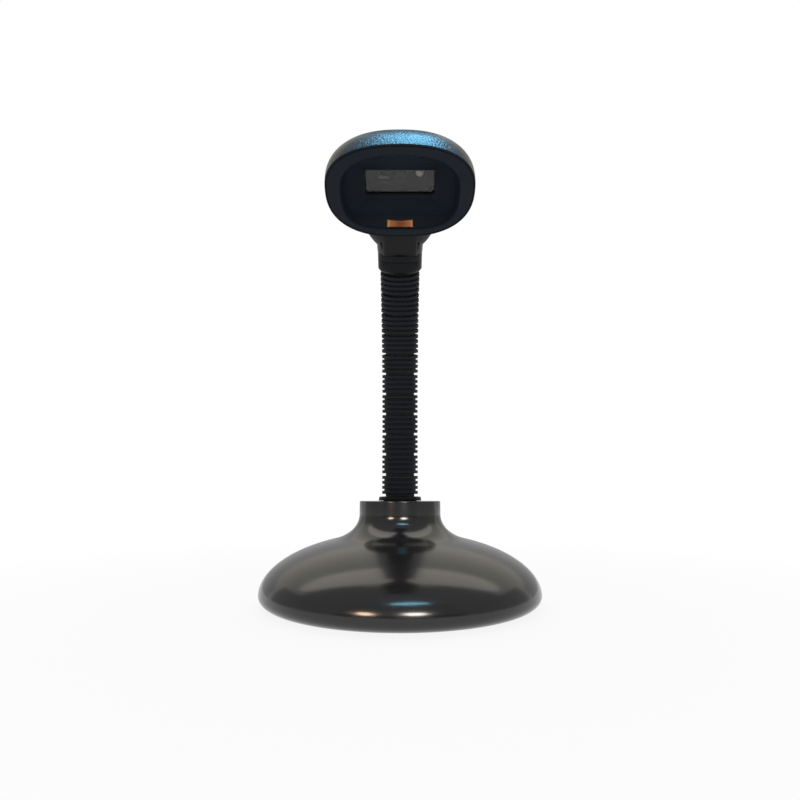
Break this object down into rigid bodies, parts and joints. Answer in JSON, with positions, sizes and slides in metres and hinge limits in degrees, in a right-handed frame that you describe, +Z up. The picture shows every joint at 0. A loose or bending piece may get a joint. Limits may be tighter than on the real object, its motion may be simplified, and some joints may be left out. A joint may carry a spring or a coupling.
{
  "type": "gooseneck barcode scanner",
  "caption": "Hands-free barcode scan head with a funnel mouth and window, held by a fork collar on a bending ribbed gooseneck that stands on a weighted round bell base.",
  "frame": {"origin": "centre of the rubber pad's underside, where the base stands", "axes": "+Z up along the base's axis, -Y towards the front, the way the scan head faces, +X to the right seen from the front"},
  "size_m": [0.1472, 0.1675, 0.2313],
  "materials": {
    "satin_black_plastic": "satin moulded",
    "textured_black_plastic": "fine spark-eroded texture",
    "slate_plastic": "smooth matt moulded",
    "black_sleeve": "ribbed extruded sleeve",
    "blackened_steel": "oil blackened",
    "steel": "zinc plated",
    "cast_iron": "raw casting",
    "rubber": "moulded",
    "amber_acrylic": "polished",
    "smoked_glass": "polished",
    "lens_glass": "polished",
    "cream_resin": "cast",
    "circuit_board": "solder mask"
  },
  "bodies": {
    "base": {"base_shell": "satin_black_plastic", "base_weight": "cast_iron", "bottom_plate": "blackened_steel", "rubber_pad": "rubber", "plate_screw_1": "steel", "plate_screw_2": "steel", "plate_screw_3": "steel", "neck_bushing": "satin_black_plastic", "neck_nut": "steel"},
    "core_01": {"core_link_01": "blackened_steel"},
    "sleeve_01": {"sleeve_section_01": "black_sleeve"},
    "core_02": {"core_link_02": "blackened_steel"},
    "sleeve_02": {"sleeve_section_02": "black_sleeve"},
    "core_03": {"core_link_03": "blackened_steel"},
    "sleeve_03": {"sleeve_section_03": "black_sleeve"},
    "core_04": {"core_link_04": "blackened_steel"},
    "sleeve_04": {"sleeve_section_04": "black_sleeve"},
    "core_05": {"core_link_05": "blackened_steel"},
    "sleeve_05": {"sleeve_section_05": "black_sleeve"},
    "core_06": {"core_link_06": "blackened_steel"},
    "sleeve_06": {"sleeve_section_06": "black_sleeve"},
    "core_07": {"core_link_07": "blackened_steel"},
    "sleeve_07": {"sleeve_section_07": "black_sleeve"},
    "core_08": {"core_link_08": "blackened_steel"},
    "sleeve_08": {"sleeve_section_08": "black_sleeve"},
    "core_09": {"core_link_09": "blackened_steel"},
    "sleeve_09": {"sleeve_section_09": "black_sleeve"},
    "core_10": {"core_link_10": "blackened_steel"},
    "sleeve_10": {"sleeve_section_10": "black_sleeve"},
    "core_11": {"core_link_11": "blackened_steel"},
    "sleeve_11": {"sleeve_section_11": "black_sleeve"},
    "core_12": {"core_link_12": "blackened_steel"},
    "head": {"neck_ferrule": "satin_black_plastic", "lock_ring": "satin_black_plastic", "stem_fork": "satin_black_plastic", "head_stem": "satin_black_plastic", "stem_nut": "steel", "rear_shell": "textured_black_plastic", "front_bezel": "slate_plastic", "scan_window": "smoked_glass", "light_pipe": "amber_acrylic", "indicator_led": "cream_resin", "engine_chassis": "satin_black_plastic", "lens_barrel": "satin_black_plastic", "imaging_lens": "lens_glass", "illumination_led": "cream_resin", "aimer_lens": "cream_resin", "engine_screw_left": "steel", "engine_screw_right": "steel", "decoder_board": "circuit_board", "buzzer": "satin_black_plastic", "data_port": "steel"}
  },
  "joints": [
    {"name": "neck_lower_tilt", "type": "hinge", "parent": "base", "child": "core_01", "pos_m": [0, 0, 0.05582], "axis": [1, 0, 0], "range_deg": [-5, 5]},
    {"name": "neck_lower_sway", "type": "hinge", "parent": "core_01", "child": "sleeve_01", "pos_m": [0, 0, 0.05582], "axis": [0, 1, 0], "range_deg": [-5, 5]},
    {"name": "neck_lower_tilt_2", "type": "hinge", "parent": "sleeve_01", "child": "core_02", "pos_m": [0, -0.00026, 0.06718], "axis": [1, 0, 0], "range_deg": [-5, 5]},
    {"name": "neck_lower_sway_2", "type": "hinge", "parent": "core_02", "child": "sleeve_02", "pos_m": [0, -0.00026, 0.06718], "axis": [0, 0.999, 0.0454], "range_deg": [-5, 5]},
    {"name": "neck_lower_tilt_3", "type": "hinge", "parent": "sleeve_02", "child": "core_03", "pos_m": [0, -0.00103, 0.07851], "axis": [1, 0, 0], "range_deg": [-5, 5]},
    {"name": "neck_lower_sway_3", "type": "hinge", "parent": "core_03", "child": "sleeve_03", "pos_m": [0, -0.00103, 0.07851], "axis": [0, 0.9959, 0.0906], "range_deg": [-5, 5]},
    {"name": "neck_lower_tilt_4", "type": "hinge", "parent": "sleeve_03", "child": "core_04", "pos_m": [0, -0.00232, 0.08979], "axis": [1, 0, 0], "range_deg": [-5, 5]},
    {"name": "neck_lower_sway_4", "type": "hinge", "parent": "core_04", "child": "sleeve_04", "pos_m": [0, -0.00232, 0.08979], "axis": [0, 0.9907, 0.1357], "range_deg": [-5, 5]},
    {"name": "neck_lower_tilt_5", "type": "hinge", "parent": "sleeve_04", "child": "core_05", "pos_m": [0, -0.00411, 0.10101], "axis": [1, 0, 0], "range_deg": [-5, 5]},
    {"name": "neck_lower_sway_5", "type": "hinge", "parent": "core_05", "child": "sleeve_05", "pos_m": [0, -0.00411, 0.10101], "axis": [0, 0.9836, 0.1805], "range_deg": [-5, 5]},
    {"name": "neck_lower_tilt_6", "type": "hinge", "parent": "sleeve_05", "child": "core_06", "pos_m": [0, -0.00642, 0.11213], "axis": [1, 0, 0], "range_deg": [-5, 5]},
    {"name": "neck_lower_sway_6", "type": "hinge", "parent": "core_06", "child": "sleeve_06", "pos_m": [0, -0.00642, 0.11213], "axis": [0, 0.9744, 0.225], "range_deg": [-5, 5]},
    {"name": "neck_upper_tilt", "type": "hinge", "parent": "sleeve_06", "child": "core_07", "pos_m": [0, -0.00922, 0.12314], "axis": [1, 0, 0], "range_deg": [-5, 5]},
    {"name": "neck_upper_sway", "type": "hinge", "parent": "core_07", "child": "sleeve_07", "pos_m": [0, -0.00922, 0.12314], "axis": [0, 0.9632, 0.2689], "range_deg": [-5, 5]},
    {"name": "neck_upper_tilt_2", "type": "hinge", "parent": "sleeve_07", "child": "core_08", "pos_m": [0, -0.01276, 0.13393], "axis": [1, 0, 0], "range_deg": [-5, 5]},
    {"name": "neck_upper_sway_2", "type": "hinge", "parent": "core_08", "child": "sleeve_08", "pos_m": [0, -0.01276, 0.13393], "axis": [0, 0.9353, 0.3538], "range_deg": [-5, 5]},
    {"name": "neck_upper_tilt_3", "type": "hinge", "parent": "sleeve_08", "child": "core_09", "pos_m": [0, -0.01725, 0.14436], "axis": [1, 0, 0], "range_deg": [-5, 5]},
    {"name": "neck_upper_sway_3", "type": "hinge", "parent": "core_09", "child": "sleeve_09", "pos_m": [0, -0.01725, 0.14436], "axis": [0, 0.9, 0.4359], "range_deg": [-5, 5]},
    {"name": "neck_upper_tilt_4", "type": "hinge", "parent": "sleeve_09", "child": "core_10", "pos_m": [0, -0.02265, 0.15435], "axis": [1, 0, 0], "range_deg": [-5, 5]},
    {"name": "neck_upper_sway_4", "type": "hinge", "parent": "core_10", "child": "sleeve_10", "pos_m": [0, -0.02265, 0.15435], "axis": [0, 0.8575, 0.5144], "range_deg": [-5, 5]},
    {"name": "neck_upper_tilt_5", "type": "hinge", "parent": "sleeve_10", "child": "core_11", "pos_m": [0, -0.02892, 0.16382], "axis": [1, 0, 0], "range_deg": [-5, 5]},
    {"name": "neck_upper_sway_5", "type": "hinge", "parent": "core_11", "child": "sleeve_11", "pos_m": [0, -0.02892, 0.16382], "axis": [0, 0.8082, 0.5889], "range_deg": [-5, 5]},
    {"name": "neck_upper_tilt_6", "type": "hinge", "parent": "sleeve_11", "child": "core_12", "pos_m": [0, -0.03601, 0.17269], "axis": [1, 0, 0], "range_deg": [-5, 5]},
    {"name": "neck_upper_sway_6", "type": "hinge", "parent": "core_12", "child": "head", "pos_m": [0, -0.03601, 0.17269], "axis": [0, 0.7524, 0.6587], "range_deg": [-5, 5]}
  ],
  "couplings": [
    {"joint": "neck_lower_tilt_2", "follows": "neck_lower_tilt", "ratio": 1},
    {"joint": "neck_lower_sway_2", "follows": "neck_lower_sway", "ratio": 1},
    {"joint": "neck_lower_tilt_3", "follows": "neck_lower_tilt", "ratio": 1},
    {"joint": "neck_lower_sway_3", "follows": "neck_lower_sway", "ratio": 1},
    {"joint": "neck_lower_tilt_4", "follows": "neck_lower_tilt", "ratio": 1},
    {"joint": "neck_lower_sway_4", "follows": "neck_lower_sway", "ratio": 1},
    {"joint": "neck_lower_tilt_5", "follows": "neck_lower_tilt", "ratio": 1},
    {"joint": "neck_lower_sway_5", "follows": "neck_lower_sway", "ratio": 1},
    {"joint": "neck_lower_tilt_6", "follows": "neck_lower_tilt", "ratio": 1},
    {"joint": "neck_lower_sway_6", "follows": "neck_lower_sway", "ratio": 1},
    {"joint": "neck_upper_tilt_2", "follows": "neck_upper_tilt", "ratio": 1},
    {"joint": "neck_upper_sway_2", "follows": "neck_upper_sway", "ratio": 1},
    {"joint": "neck_upper_tilt_3", "follows": "neck_upper_tilt", "ratio": 1},
    {"joint": "neck_upper_sway_3", "follows": "neck_upper_sway", "ratio": 1},
    {"joint": "neck_upper_tilt_4", "follows": "neck_upper_tilt", "ratio": 1},
    {"joint": "neck_upper_sway_4", "follows": "neck_upper_sway", "ratio": 1},
    {"joint": "neck_upper_tilt_5", "follows": "neck_upper_tilt", "ratio": 1},
    {"joint": "neck_upper_sway_5", "follows": "neck_upper_sway", "ratio": 1},
    {"joint": "neck_upper_tilt_6", "follows": "neck_upper_tilt", "ratio": 1},
    {"joint": "neck_upper_sway_6", "follows": "neck_upper_sway", "ratio": 1}
  ]
}
